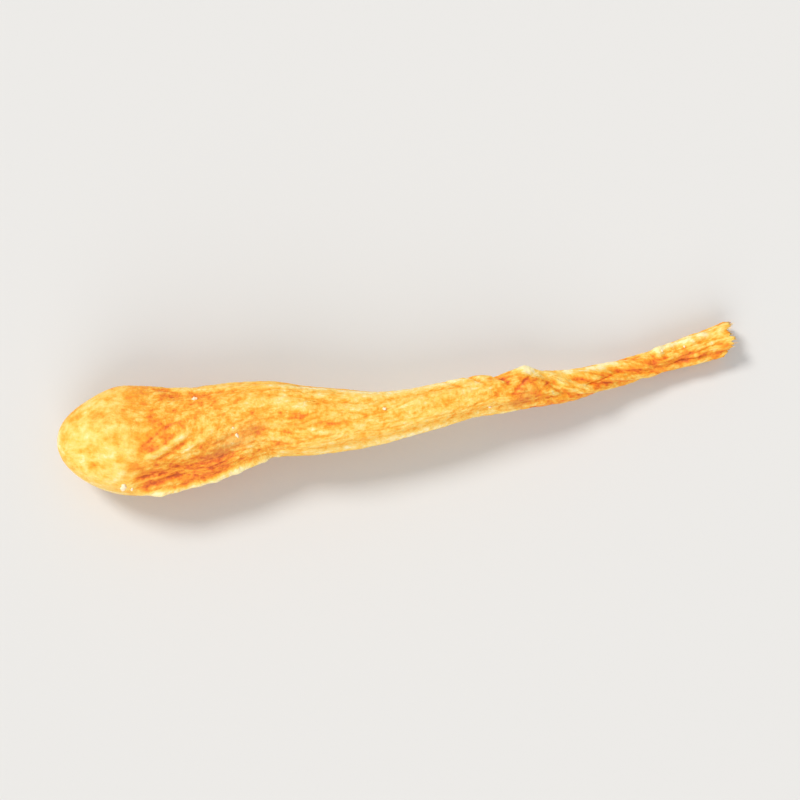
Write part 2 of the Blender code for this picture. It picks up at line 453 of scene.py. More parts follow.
@dataclass
class DriedRelief:
    """The wrinkled relief of the shrunken skin, from the large folds of the solid down to fine crinkles."""

    squareness: float = 2.2
    broad_height: float = 0.16
    broad_length: float = 4.5
    broad_round: float = 0.9
    broad_seed: tuple[float, float, float] = (3.1, 7.4, 1.9)
    full_lumps_half_width: float = 2.0

    # The folds that the solid has too
    folds: tuple[Fold, ...] = (
        Fold(3.9, 11.6, 139, 130, -0.34, 0.82),
        Fold(4.2, 12.9, 166, 170, 0.24, 0.42),
        Fold(3.2, 5.8, 172, 96, -0.08, 0.50),
        Fold(6.4, 13.4, 38, 46, -0.07, 0.44),
        Fold(4.4, 12.0, 14, 20, 0.06, 0.60),
        Fold(9.5, 22.0, 88, 80, -0.06, 0.42),
        Fold(8.0, 18.0, 112, 104, -0.06, 0.40),
        Fold(4.8, 16.5, 212, 206, -0.26, 0.55),
        Fold(4.4, 17.0, 238, 230, -0.34, 0.62),
        Fold(8.5, 21.0, 266, 260, -0.24, 0.55),
        Fold(4.2, 17.5, 300, 292, -0.36, 0.70),
        Fold(6.0, 16.0, 334, 330, -0.26, 0.55),
        Fold(28.4, 31.4, 14, 172, -0.18, 0.46),
        *furrows_round(8, Fold(13.0, 30.5, 22, -4, -0.10, 0.26), 1.9),
        *furrows_round(5, Fold(29.5, 36.8, 40, 230, -0.17, 0.24), 0.3),
        *furrows_round(6, Fold(35.4, LENGTH + 3.2, 8, 22, -0.22, 0.30), 0.4),
    )
    lumps: tuple[Lump, ...] = (
        Lump(2.6, 240, -0.16, 1.60, 1.40),
        Lump(3.2, 16, 0.20, 1.40, 1.30),
        Lump(26.5, 6, -0.20, 0.55, 0.70),
        Lump(28.3, 16, 0.36, 0.80, 0.90),
        Lump(26.6, 196, 0.12, 1.10, 0.70),
        Lump(36.9, 60, 0.14, 0.70, 0.60),
        Lump(38.7, 84, 0.18, 0.60, 0.60),
        Lump(38.0, 128, -0.16, 0.50, 0.50),
        Lump(39.8, 40, -0.14, 0.50, 0.50),
    )

    fine_folds: tuple[Fold, ...] = (
        # The slanting wrinkles over the hollow
        Fold(5.2, 8.7, 117, 88, 0.14, 0.22, Profile.SHARP, 0.8),
        Fold(5.8, 9.8, 119, 86, -0.10, 0.15, Profile.SHARP, 0.8),
        Fold(7.3, 9.8, 116, 94, 0.11, 0.20, Profile.SHARP, 0.8),
        Fold(8.3, 11.0, 120, 104, -0.08, 0.16, Profile.SHARP, 0.9),
        Fold(6.0, 8.4, 90, 74, -0.07, 0.14, Profile.SHARP, 0.9),
        Fold(5.0, 6.6, 105, 86, -0.08, 0.16, Profile.SHARP, 0.6),
        # The lines along the bottom of the hollow, and the crest of its rim
        Fold(4.8, 9.2, 152, 147, -0.04, 0.18, Profile.SHARP),
        Fold(7.4, 11.6, 143, 137, -0.04, 0.17, Profile.SHARP),
        Fold(5.4, 10.2, 135, 127, -0.02, 0.15, Profile.SHARP),
        Fold(4.3, 13.5, 168, 172, 0.13, 0.19, Profile.SHARP),
        Fold(4.6, 12.6, 161, 164, -0.09, 0.14, Profile.SHARP),
        # The bottom of the upper furrow
        Fold(6.2, 9.4, 38, 43, -0.03, 0.20, Profile.SHARP, 1.0),
        Fold(7.0, 11.0, 60, 52, -0.05, 0.18, Profile.SHARP),
        # The gathers along the upper edge of the stem, towards the kink
        Fold(22.6, 24.6, -20, 70, -0.15, 0.22, Profile.SOFT, 0.6),
        Fold(24.2, 26.0, -24, 78, -0.18, 0.22, Profile.SOFT, 0.6),
        Fold(25.6, 27.4, -26, 90, -0.17, 0.22, Profile.SOFT, 0.6),
        Fold(26.9, 29.2, 118, 20, -0.10, 0.18, Profile.SHARP, 0.6),
        # The pale ridge along the top of the butt
        Fold(35.2, 42.5, 52, 68, 0.13, 0.26, Profile.SHARP, 1.0),
        # The crevice of the wrung tail
        Fold(31.4, 34.5, 117, 88, -0.16, 0.15, Profile.SHARP, 0.8),
    )
    small_lumps: tuple[Lump, ...] = (
        # The scallops of the hollow's rim, and the bumps along the butt's ridge
        *knobs_along(9, Lump(4.9, 171, 0.09, 0.28, 0.34), 1.05, 0.0),
        *knobs_along(6, Lump(35.7, 54, 0.11, 0.30, 0.30), 0.95, 2.6),
        # The soft end of the hollow under the dome, then the dents of the dome and of the butt
        Lump(4.6, 143, 0.10, 0.60, 0.80),
        Lump(1.76, 109, -0.05, 0.34, 0.18),
        Lump(1.15, 70, -0.04, 0.30, 0.30),
        Lump(2.50, 64, -0.04, 0.55, 0.40),
        Lump(2.70, 128, -0.03, 0.45, 0.35),
        Lump(5.75, 103, -0.08, 0.50, 0.28),
        Lump(36.2, 96, -0.08, 0.30, 0.18),
        Lump(37.0, 88, -0.11, 0.26, 0.20),
        Lump(37.4, 118, -0.09, 0.34, 0.20),
        Lump(37.9, 70, -0.10, 0.24, 0.18),
        Lump(38.5, 104, -0.12, 0.30, 0.20),
        Lump(39.3, 76, -0.12, 0.28, 0.20),
        Lump(39.7, 122, -0.10, 0.34, 0.20),
        Lump(40.3, 98, -0.09, 0.26, 0.18),
    )
    layers: tuple[WrinkleLayer, ...] = (
        WrinkleLayer(1.10, 5.0, 0.095, 0.0, Pattern.SMOOTH, 4.3),
        WrinkleLayer(0.62, 4.0, 0.075, 0.0, Pattern.CELLS, 15.1),
        WrinkleLayer(0.32, 3.0, 0.042, 0.1, Pattern.SMOOTH, 21.7),
        WrinkleLayer(0.36, 1.3, 0.026, 0.5, Pattern.CELLS, 31.9),
        WrinkleLayer(0.85, 3.6, 0.085, 0.0, Pattern.SMOOTH, 61.3, 26.0),
        WrinkleLayer(0.44, 3.0, 0.055, 0.0, Pattern.CELLS, 72.5, 30.0),
    )
    grain_height: float = 0.014
    grain_width: float = 0.26

    # Wrinkles are counted from a level part of the way up their crests
    crest_level: float = 0.7

    # How far the grain is wrung round the piece, in degrees, and how it wanders, in radians
    wrung_along: tuple[float, ...] = (0, 13, 29.5, 36.8, LENGTH)
    wrung_by: tuple[float, ...] = (0, 0, -25, 165, 178)
    grain_wander: Wander = Wander(3.4, 1.3, 13.4)
    grain_wander_turn: float = 0.14

    # The smooth dome ends in a slanting, ragged edge
    dome_edge: float = 3.7
    dome_edge_slant: float = 0.9
    dome_edge_turn: float = 0.2
    dome_edge_wander: Wander = Wander(1.8, 1.6, 40.2)
    dome_edge_raggedness: float = 1.3
    dome_edge_width: float = 2.6

    # The part of the head's top where the wrinkles run slanting, and how far the others give way there
    slanting_side: Side = Side(86, 0.72, 4)
    slanting_stretch: Stretch = Stretch(3.8, 13.5, 2.0, 3.0)
    giving_way: float = 0.8

    # Where the wrinkles are calmer: on the top of the head, on the neck and stem, and where it is thin
    calm_side: Side = Side(66, 0.7, 2)
    calm_end: float = 9.0
    calm_fade: float = 6.0
    calm_on_head: float = 0.35
    calm_neck: Stretch = Stretch(10.5, 26.0, 3.0, 5.0)
    calm_on_neck: float = 0.4
    least_where_thin: float = 0.65

    # How unevenly the wrinkles show over the piece
    unevenness: Wander = Wander(3.0, 1.1, 50.6)
    usual_strength: float = 0.85
    uneven_strength: float = 0.9
    strength_limits: tuple[float, float] = (0.25, 1.3)

    def along_line(self, folds: Sequence[Fold], places: Places) -> np.ndarray:
        """Adds up a set of folds.

        Args:
            folds: the ridges and furrows.
            places: where the points lie.

        Returns:
            How far they raise each point, in millimetres.
        """
        raised = np.zeros_like(places.along)
        for fold in folds:
            share = (places.along - fold.start) / (fold.end - fold.start)
            line = np.radians(fold.angle_at_start + share * (fold.angle_at_end - fold.angle_at_start))
            away = turn_between(places.angle, line) * places.arc / fold.half_width
            inside = Stretch(fold.start, fold.end, fold.fade, fold.fade).share(places.along)
            raised += fold.height * inside * fold.profile.across(away)
        return raised

    def broad(self, places: Places) -> np.ndarray:
        """Reads the slow, uneven swelling of the whole piece, which is less where it is thin.

        Args:
            places: where the points lie.

        Returns:
            How far it raises each point, in millimetres.
        """
        seed_along, seed_across, seed_up = self.broad_seed
        share = np.minimum(1.0, places.half_width / self.full_lumps_half_width)
        return self.broad_height * share * Pattern.SMOOTH.at(
            places.along / self.broad_length + seed_along,
            self.broad_round * np.cos(places.angle) + seed_across,
            self.broad_round * np.sin(places.angle) + seed_up,
        )

    def large(self, places: Places) -> np.ndarray:
        """The relief that the solid has too."""
        raised = self.broad(places) + self.along_line(self.folds, places)
        return raised + sum(lump.height * places.reach(lump) for lump in self.lumps)

    def grain(self, places: Places) -> np.ndarray:
        """Lays the wrung grain straight, on the straight piece.

        Args:
            places: where the points lie.

        Returns:
            The place of each point along and across its grain, in millimetres.
        """
        wrung = np.radians(np.interp(places.along, self.wrung_along, self.wrung_by))
        angle = places.angle - wrung + self.grain_wander_turn * self.grain_wander.at(places)
        across = places.dome * places.half_width * np.cos(angle)
        upward = places.dome * places.half_height * np.sin(angle)
        return np.stack((places.along, across, upward), axis=1)

    def past_dome(self, places: Places) -> np.ndarray:
        """Works out which points are over the edge of the smooth dome.

        Args:
            places: where the points lie.

        Returns:
            0 on the dome, rising to 1 past its edge.
        """
        slant = self.dome_edge_slant * np.sin(places.angle + self.dome_edge_turn)
        edge = self.dome_edge + slant + self.dome_edge_raggedness * self.dome_edge_wander.at(places)
        return ease((places.along - edge) / self.dome_edge_width)

    def slanting(self, places: Places) -> np.ndarray:
        """How far each place is in the part where the wrinkles run slanting, from 0 to 1."""
        return self.slanting_side.share(places) * self.slanting_stretch.share(places.along)

    def roughness(self, places: Places) -> np.ndarray:
        """Works out how strongly the wrinkles show.

        Args:
            places: where the points lie.

        Returns:
            A factor for the wrinkles' height at each point.
        """
        head_top = self.calm_side.share(places) * (1 - ease((places.along - self.calm_end) / self.calm_fade))
        neck = 1 - self.calm_on_neck * self.calm_neck.share(places.along)
        thickness = places.half_width / self.full_lumps_half_width
        thin = np.minimum(1.0, self.least_where_thin + (1 - self.least_where_thin) * thickness)
        uneven = self.usual_strength + self.uneven_strength * self.unevenness.at(places)
        return neck * thin * (1 - self.calm_on_head * head_top) * np.clip(uneven, *self.strength_limits)

    def fine(self, places: Places) -> np.ndarray:
        """Adds up the relief that is finer than the solid's.

        Args:
            places: where the points lie.

        Returns:
            How far it raises each point, in millimetres.
        """
        raised = self.along_line(self.fine_folds, places)
        raised += sum(lump.height * places.reach(lump) for lump in self.small_lumps)
        straight = self.grain(places)
        past_dome = self.past_dome(places)
        roughness = self.roughness(places)
        slanting = self.slanting(places)
        for layer in self.layers:
            turn = math.radians(layer.slant)
            lengthwise = straight[:, 0] * math.cos(turn) + straight[:, 1] * math.sin(turn)
            across = straight[:, 1] * math.cos(turn) - straight[:, 0] * math.sin(turn)
            crests = layer.pattern.crests(
                across / layer.spacing,
                straight[:, 2] / layer.spacing,
                lengthwise / (layer.spacing * layer.stretch),
                seed=layer.seed,
            )
            share = layer.share_on_dome + (1 - layer.share_on_dome) * past_dome
            share *= slanting if layer.slant else 1 - self.giving_way * slanting
            raised += layer.height * share * roughness * (crests - self.crest_level)
        return raised + self.grain_height * Pattern.SMOOTH.at(*(straight / self.grain_width).T, seed=13.9)


@dataclass
class StainsAndPaintedLight:
    """Where the skin is pale, gold or orange, where highlight and shade are painted on it, and where it has
    greyish tan spots of painted shade.
    """

    # Orange starts earlier along the +Y side than along the other, and in a ragged line
    tone_slant: float = 1.1
    tone_wander: Wander = Wander(1.5, 1.8, 8.8)
    tone_raggedness: float = 1.5

    # The clouds and blotches show less on the smooth stem, and more on the thin tail
    smooth_stem: Stretch = Stretch(14.0, 26.5, 3.0, 3.0)
    mottling_lost: float = 0.35
    tail_start: float = 26.5
    tail_fade: float = 2.0
    mottling_gained: float = 0.4

    # How orange the skin is along the piece, from 0, pale yellow, to 1, the dark orange painted as shade in a
    # crevice
    tone_along: tuple[float, ...] = (0, 3.0, 5.2, 8, 11, 14, 20, 25, 27.6, 29.4, 31.5, 34, 36, 39, 41)
    tones: tuple[float, ...] = (
        0.18, 0.19, 0.35, 0.40, 0.32, 0.26, 0.19, 0.20, 0.51, 0.44, 0.32, 0.38, 0.40, 0.40, 0.40
    )
    patches: tuple[Patch, ...] = (
        # The hollow, the dent over it and the upper furrow, orange partly of their own and partly as painted
        # shade; then the streaks of the neck and stem
        Patch(7.8, 151, 0.27, 3.2, 0.95),
        Patch(5.2, 150, 0.15, 0.8, 0.80),
        Patch(5.75, 103, 0.26, 0.6, 0.35),
        Patch(9.6, 42, 0.08, 2.8, 0.4),
        Patch(7.3, 44, 0.24, 0.4, 0.28),
        Patch(9.0, 48, 0.20, 0.4, 0.25),
        Patch(10.6, 46, 0.14, 0.5, 0.22),
        Patch(14.6, 92, 0.14, 0.7, 0.40),
        Patch(16.4, 100, 0.16, 0.6, 0.40),
        Patch(19.2, 84, 0.14, 0.7, 0.26),
        Patch(19.8, 122, 0.18, 0.4, 0.30),
        # Painted shade in the dents of the dome
        Patch(1.76, 109, 0.18, 0.40, 0.22),
        Patch(1.15, 70, 0.14, 0.40, 0.40),
        Patch(2.50, 64, 0.12, 0.70, 0.50),
        # Painted shade in the crease of the kink and in the pits of the butt, and the underside of the butt
        Patch(28.2, 62, 0.36, 0.5, 0.35),
        Patch(34.8, 120, 0.26, 1.6, 0.50),
        Patch(38.0, 134, 0.14, 2.2, 0.6),
        Patch(37.0, 88, 0.36, 0.28, 0.22),
        Patch(38.5, 104, 0.34, 0.34, 0.24),
        Patch(39.3, 80, 0.34, 0.28, 0.22),
        # Painted highlights, partly the skin's own paler crests: the pale tip, side and foot of the dome, the
        # rims and edges, and the crests of the kink, tail and butt
        Patch(0.0, 90, -0.34, 0.35, 3.0),
        Patch(2.4, 176, -0.34, 2.4, 0.28),
        Patch(2.6, 152, -0.12, 1.8, 1.6),
        Patch(8.6, 171, -0.44, 4.4, 0.30),
        Patch(17.5, 162, -0.28, 7.0, 0.30),
        Patch(17.5, 33, -0.36, 5.5, 0.28),
        Patch(24.6, 33, -0.32, 2.6, 0.28),
        Patch(10.4, 22, -0.14, 3.0, 0.5),
        Patch(28.4, 22, -0.42, 0.8, 0.50),
        Patch(30.2, 84, -0.12, 1.0, 0.7),
        Patch(30.6, 36, -0.62, 1.8, 0.44),
        Patch(33.2, 42, -0.62, 1.3, 0.42),
        Patch(36.6, 56, -0.36, 1.3, 0.36),
        Patch(39.8, 62, -0.52, 1.7, 0.42),
        Patch(36.4, 112, -0.20, 0.4, 0.25),
    )
    # Spots of painted shade, greyish tan: on the head's lower flank, at the kink and on the butt
    shade_spots: tuple[Patch, ...] = (
        Patch(10.4, 119, 0.70, 1.1, 0.60),
        Patch(9.3, 131, 0.45, 0.8, 0.35),
        Patch(11.9, 106, 0.50, 0.8, 0.50),
        Patch(28.1, 108, 0.55, 0.5, 0.45),
        Patch(27.4, 140, 0.45, 0.7, 0.35),
        Patch(37.6, 148, 0.30, 1.2, 0.40),
    )

    def tone(self, places: Places) -> np.ndarray:
        """Works out how orange the skin is.

        Args:
            places: where the points lie.

        Returns:
            The tone of each point: under 0 where it is palest, partly bleached and partly painted highlight,
                and 1 where a crevice is painted in dark shade.
        """
        ahead = self.tone_slant * np.cos(places.angle) + self.tone_raggedness * self.tone_wander.at(places)
        tone = np.interp(places.along + ahead, self.tone_along, self.tones)
        return tone + sum(patch.strength * places.reach(patch) for patch in self.patches)

    def mottling(self, places: Places) -> np.ndarray:
        """Works out how strongly the clouds and blotches show.

        Args:
            places: where the points lie.

        Returns:
            A factor for their strength at each point: under 1 on the stem, and over 1 on the tail.
        """
        tail = ease((places.along - self.tail_start) / self.tail_fade)
        return 1 + self.mottling_gained * tail - self.mottling_lost * self.smooth_stem.share(places.along)

    def bruise(self, places: Places) -> np.ndarray:
        """How strongly each place is painted with a greyish tan spot of shade, from 0 to 1."""
        return np.clip(sum(patch.strength * places.reach(patch) for patch in self.shade_spots), 0.0, 1.0)


@dataclass
class FruitingBody:
    """The whole fruiting body but its torn end: the skin, as one closed surface once the butt is closed."""

    line: BentLine = LINE
    relief: DriedRelief = field(default_factory=DriedRelief)
    stains_and_painted_light: StainsAndPaintedLight = field(default_factory=StainsAndPaintedLight)
    ring_points: int = 25
    dome_rings: int = 7
    rings_behind: int = 46
    rounds_of_smoothing: int = 3
    tear_slant: float = 0.42
    tear_slant_angle: float = 20.0
    tear_slant_length: float = 3.0
    tear_heights: tuple[float, float, float] = (0.45, 0.34, 0.16)
    tears_round: tuple[float, float, float] = (1.6, 5.0, 13.0)
    tears_seed: float = 5.0
    tears_length: float = 1.0

    # Crinkles stand out of the skin as averaged a few times, and wrinkles out of a much smoother one
    # The material paints the crests of both paler and their valleys darker, as painted highlight and painted
    # shade
    near_rounds: int = 10
    far_rounds: int = 110
    crinkle_depth: float = 0.022
    wrinkle_depth: float = 0.110
    graininess_on_dome: float = 0.4

    # The shortest distance round the piece that an angle may stand for, at the very tip
    least_arc: float = 0.01
    shift: Vector = field(default_factory=Vector)

    def ring_places(self) -> list[float]:
        """Works out where the rings stand: close together on the dome, then evenly spaced to the butt.

        Returns:
            Places along the piece, in rising order.
        """
        quarter = math.pi / 2
        dome = [
            self.line.dome_length * (1 - math.cos(quarter * index / self.dome_rings))
            for index in range(1, self.dome_rings + 1)
        ]
        behind = self.line.length - self.line.dome_length
        steps = range(1, self.rings_behind + 1)
        return dome + [self.line.dome_length + behind * index / self.rings_behind for index in steps]

    def model_straight(self) -> bpy.types.Object:
        """Models the smooth body, unbent: a ring is added at the dome and extruded from ring to ring.

        Returns:
            The object, open at the butt, with each of its rings at full size.
        """
        along = np.array(self.ring_places())
        sections = self.line.sections(along)
        sizes = sections[:, 3:] * self.line.dome(along)[:, None] * MM
        deselect_all()
        bpy.ops.mesh.primitive_circle_add(
            vertices=self.ring_points,
            radius=1.0,
            location=(along[0] * MM, 0, 0),
            rotation=(math.pi / 2, 0, math.pi / 2),
        )
        body = bpy.context.active_object
        body.name = body.data.name = "dried_fruiting_body"
        bpy.ops.object.transform_apply(location=True, rotation=True, scale=True)
        bpy.ops.object.mode_set(mode="EDIT")
        bpy.ops.mesh.select_all(action="SELECT")
        centre = Vector((along[0] * MM, 0, 0))
        bpy.ops.transform.resize(value=(1, sizes[0, 0], sizes[0, 1]), center_override=centre)
        for index in range(1, len(along)):
            step = (along[index] - along[index - 1]) * MM
            across, upward = sizes[index] / sizes[index - 1]
            bpy.ops.mesh.extrude_region_move(TRANSFORM_OT_translate={"value": (step, 0, 0)})
            centre = Vector((along[index] * MM, 0, 0))
            bpy.ops.transform.resize(value=(1, across, upward), center_override=centre)
        self.close_tip(body)
        bpy.ops.object.mode_set(mode="OBJECT")
        return body

    def close_tip(self, body: bpy.types.Object) -> None:
        """Closes the first ring over the tip of the dome.

        Args:
            body: the straight body, in edit mode.
        """
        bpy.ops.mesh.select_all(action="DESELECT")
        mesh = bmesh.from_edit_mesh(body.data)
        first = min(vertex.co.x for vertex in mesh.verts)
        tolerance = 0.01 * MM
        for vertex in mesh.verts:
            vertex.select = vertex.co.x < first + tolerance
        mesh.select_flush(True)
        bmesh.update_edit_mesh(body.data)
        bpy.ops.mesh.extrude_region_move(TRANSFORM_OT_translate={"value": (-first, 0, 0)})
        bpy.ops.mesh.merge(type="CENTER")

    def smooth(self, body: bpy.types.Object) -> None:
        """Divides the surface finely enough for the wrinkles.

        Args:
            body: the straight body.
        """
        rounds = body.modifiers.new("fine_surface", "SUBSURF")
        rounds.levels = rounds.render_levels = self.rounds_of_smoothing
        bpy.context.view_layer.objects.active = body
        bpy.ops.object.modifier_apply(modifier=rounds.name)

    def read_places(self, body: bpy.types.Object) -> Places:
        """Reads where the points of the straight body lie.

        Args:
            body: the straight body.

        Returns:
            The places of its points.
        """
        count = len(body.data.vertices)
        points = np.empty(count * 3)
        body.data.vertices.foreach_get("co", points)
        points = points.reshape(-1, 3) / MM
        along = points[:, 0] - points[:, 0].min()
        along *= self.line.length / along.max()
        return self.places_at(along, points[:, 1], points[:, 2])

    def places_at(self, along: np.ndarray, across: np.ndarray, upward: np.ndarray) -> Places:
        """Works out the places of points on the straight body.

        Args:
            along: how far each point lies along the piece, in millimetres.
            across: how far it lies towards +Y.
            upward: how far it lies towards +Z.

        Returns:
            The places of the points.
        """
        sections = self.line.sections(along)
        half_width, half_height = sections[:, 3], sections[:, 4]
        angle = np.arctan2(upward / half_height, across / half_width)
        dome = self.line.dome(along)
        arc = np.hypot(half_width * np.sin(angle), half_height * np.cos(angle)) * dome
        return Places(along, angle, half_width, half_height, dome, np.maximum(arc, self.least_arc))

    def bent(self, places: Places, raised: np.ndarray) -> np.ndarray:
        """Puts points of the skin on the bent line.

        Args:
            places: where they lie along and round the piece.
            raised: how far each one stands out of the smooth body.

        Returns:
            One row for each point, in millimetres, in the frame that the solid has.
        """
        half_width = places.half_width * places.dome
        half_height = places.half_height * places.dome
        cosine, sine = np.cos(places.angle), np.sin(places.angle)
        power = 2 / self.relief.squareness
        outward = np.stack((cosine * places.half_height, sine * places.half_width), axis=1)
        outward *= (raised * places.dome / np.linalg.norm(outward, axis=1))[:, None]
        across = half_width * np.sign(cosine) * np.abs(cosine) ** power + outward[:, 0]
        upward = half_height * np.sign(sine) * np.abs(sine) ** power + outward[:, 1]
        sideways, up = self.line.axes(places.along)
        points = self.line.sections(places.along)[:, :3] + np.array(self.shift)
        points += sideways * across[:, None] + up * upward[:, None]
        # The butt was torn off at a slant
        near_end = ease((places.along - self.line.length) / self.tear_slant_length + 1)
        slant = np.cos(places.angle - math.radians(self.tear_slant_angle))
        points[:, 0] += self.tear_slant * near_end * slant
        return points

    def sculpt(self, body: bpy.types.Object) -> None:
        """Wrinkles and bends the body, and keeps on its points what its colours follow.

        Args:
            body: the straight body, finely divided.
        """
        places = self.read_places(body)
        raised = self.relief.large(places) + self.relief.fine(places)
        points = self.bent(places, raised)
        points[:, 0] += self.torn_rim(places)
        points[:, 2] = np.maximum(points[:, 2], 0.0)
        body.data.vertices.foreach_set("co", (points * MM).astype(np.float32).ravel())
        body.data.update()
        near = self.settled(body, raised, self.near_rounds)
        far = self.settled(body, near, self.far_rounds)
        behind_dome = (1 - self.graininess_on_dome) * self.relief.past_dome(places)
        kept = {
            "grain": self.relief.grain(places) * MM,
            # How far a point stands out of its neighbours, which the material turns into painted highlight
            # and painted shade
            "crinkle": np.tanh((raised - near) / self.crinkle_depth),
            "wrinkle": np.tanh((near - far) / self.wrinkle_depth),
            "mottling": self.stains_and_painted_light.mottling(places),
            "graininess": self.graininess_on_dome + behind_dome,
            "tone": self.stains_and_painted_light.tone(places),
            "bruise": self.stains_and_painted_light.bruise(places),
        }
        for name, values in kept.items():
            self.keep(body, name, values)

    def settled(self, body: bpy.types.Object, heights: np.ndarray, rounds: int) -> np.ndarray:
        """Averages the heights of neighbouring points.

        Args:
            body: the object whose edges tell which points are neighbours.
            heights: one height for each of its points.
            rounds: how many times each point is averaged with its neighbours.

        Returns:
            The averaged heights.
        """
        edges = np.empty(2 * len(body.data.edges), dtype=np.int32)
        body.data.edges.foreach_get("vertices", edges)
        first, second = edges.reshape(-1, 2).T
        count = len(heights)
        neighbours = np.bincount(edges, minlength=count)
        for _ in range(rounds):
            total = np.bincount(first, heights[second], count) + np.bincount(second, heights[first], count)
            heights = (heights + total / neighbours) / 2
        return heights

    def torn_rim(self, places: Places) -> np.ndarray:
        """Works out how ragged the butt's rim is.

        Args:
            places: where the points lie.

        Returns:
            How far each point is pulled in or out along the piece, in millimetres.
        """
        near = ease((places.along - self.line.length) / self.tears_length + 1)
        pulled = np.zeros_like(places.along)
        for height, tears in zip(self.tear_heights, self.tears_round):
            across, upward = tears * np.cos(places.angle), tears * np.sin(places.angle)
            pulled += height * Pattern.SMOOTH.at(across, upward, np.full_like(across, self.tears_seed))
        return near * pulled

    def keep(self, body: bpy.types.Object, name: str, values: np.ndarray) -> None:
        """Stores values on the points, for the material to read.

        Args:
            body: the object that they are stored on.
            name: the attribute's name.
            values: one value, or one row of three, for each of its points.
        """
        kind, key = ("FLOAT_VECTOR", "vector") if values.ndim == 2 else ("FLOAT", "value")
        layer = body.data.attributes.new(name, kind, "POINT")
        layer.data.foreach_set(key, values.astype(np.float32).ravel())

    def fit_to_solid(self) -> None:
        """Works out how far the piece is shifted, so that it lies where the solid does."""
        low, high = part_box(NODE)
        first_ring, ring_count, count_round = 0.4, 120, 90
        angles = np.linspace(0, 2 * np.pi, count_round, endpoint=False)
        rings = np.linspace(first_ring, self.line.length, ring_count)
        along, angle = (grid.ravel() for grid in np.meshgrid(rings, angles))
        places = self.places_at(along, np.cos(angle), np.sin(angle))
        points = self.bent(places, self.relief.large(places))
        middle = (points[:, 1].min() + points[:, 1].max()) / 2
        self.shift = Vector((low.x / MM, (low.y + high.y) / 2 / MM - middle, 0.0))

    def build(self) -> bpy.types.Object:
        """Builds the body.

        Returns:
            The wrinkled and bent body, still open at the butt.
        """
        self.fit_to_solid()
        body = self.model_straight()
        self.smooth(body)
        self.sculpt(body)
        return body


@dataclass
class TornButt:
    """The torn end of the stem: the skin's lip turned in to a hollow of short broken fibres."""

    # Each ring of the torn end: how much smaller it is than the last one, and how far it is set in
    rings: tuple[tuple[float, float], ...] = (
        (0.955, 0.02),
        (0.94, -0.06),
        (0.92, -0.14),
        (0.90, -0.14),
        (0.86, -0.10),
        (0.82, -0.06),
        (0.76, -0.03),
        (0.66, 0.0),
        (0.50, 0.0),
    )
    bundle_width: float = 0.20
    bundle_height: float = 0.26

    def close(self, body: bpy.types.Object) -> None:
        """Closes the open end, from its rim to the middle of the hollow.

        Args:
            body: the body, open at the butt.
        """
        skin_points = len(body.data.vertices)
        deselect_all()
        body.select_set(True)
        bpy.context.view_layer.objects.active = body
        bpy.ops.object.mode_set(mode="EDIT")
        bpy.ops.mesh.select_all(action="DESELECT")
        mesh = bmesh.from_edit_mesh(body.data)
        rim = [edge for edge in mesh.edges if edge.is_boundary]
        for edge in rim:
            edge.select_set(True)
        centre = sum((vertex.co for edge in rim for vertex in edge.verts), Vector()) / (2 * len(rim))
        bmesh.update_edit_mesh(body.data)
        for share, inset in self.rings:
            bpy.ops.mesh.extrude_region_move(TRANSFORM_OT_translate={"value": (inset * MM, 0, 0)})
            centre.x += inset * MM
            bpy.ops.transform.resize(value=(share, share, share), center_override=centre)
        bpy.ops.mesh.merge(type="CENTER")
        bpy.ops.mesh.select_all(action="SELECT")
        bpy.ops.mesh.normals_make_consistent(inside=False)
        bpy.ops.object.mode_set(mode="OBJECT")
        self.roughen(body, skin_points)

    def roughen(self, body: bpy.types.Object, skin_points: int) -> None:
        """Breaks up the new faces into bundles of fibres, and gives them the flesh's material slot.

        Args:
            body: the closed body.
            skin_points: how many points it had before it was closed.
        """
        vertices = body.data.vertices
        torn = range(skin_points, len(vertices))
        places = np.array([vertices[index].co for index in torn]) / MM
        across, upward = places[:, 1] / self.bundle_width, places[:, 2] / self.bundle_width
        pushes = Pattern.SMOOTH.at(across, upward, places[:, 0], seed=3.3)
        for index, push in zip(torn, pushes):
            vertices[index].co.x += self.bundle_height * push * MM
        for face in body.data.polygons:
            face.material_index = int(all(index >= skin_points for index in face.vertices))


def join_pieces(pieces: Sequence[bpy.types.Object], name: str) -> bpy.types.Object:
    """Joins several objects into one.

    Args:
        pieces: the objects to join.
        name: the name of the joined object.

    Returns:
        The joined object.
    """
    deselect_all()
    for piece in pieces:
        piece.select_set(True)
    bpy.context.view_layer.objects.active = pieces[0]
    bpy.ops.object.join()
    joined = bpy.context.active_object
    joined.name = joined.data.name = name
    return joined


def copy_of(model: bpy.types.Object) -> bpy.types.Object:
    """Copies an object.

    Args:
        model: the object to copy.

    Returns:
        The copy, with a mesh of its own.
    """
    copy = bpy.data.objects.new(model.name, model.data.copy())
    bpy.context.scene.collection.objects.link(copy)
    return copy


